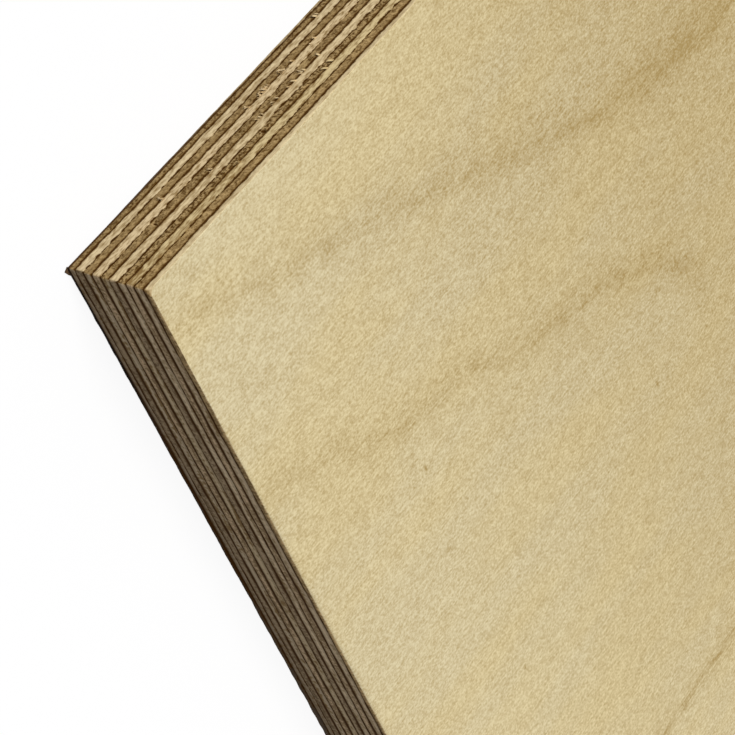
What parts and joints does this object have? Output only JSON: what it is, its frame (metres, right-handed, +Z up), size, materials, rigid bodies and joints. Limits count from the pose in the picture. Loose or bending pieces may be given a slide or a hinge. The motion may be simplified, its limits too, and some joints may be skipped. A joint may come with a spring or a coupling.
{
  "type": "plywood sheet",
  "caption": "Flat square birch plywood sheet with a pale sanded face and cross-laminated veneers striping its square-cut edges; raw stock for joinery, flooring and boxes.",
  "frame": {"origin": "centre of the back of the sheet, on the surface that it lies on", "axes": "+X along the grain of the face, +Y across it, +Z up out of the face"},
  "size_m": [1.525, 1.525, 0.015],
  "materials": {
    "face_veneer": "sanded, bare",
    "back_veneer": "sanded, bare",
    "long_ply": "sawn long grain",
    "cross_ply": "sawn end grain"
  },
  "bodies": {
    "root": {"back_veneer": "back_veneer", "cross_ply_1": "cross_ply", "cross_ply_2": "cross_ply", "cross_ply_3": "cross_ply", "cross_ply_4": "cross_ply", "cross_ply_5": "cross_ply", "face_veneer": "face_veneer", "long_ply_1": "long_ply", "long_ply_2": "long_ply", "long_ply_3": "long_ply", "long_ply_4": "long_ply"}
  },
  "joints": []
}
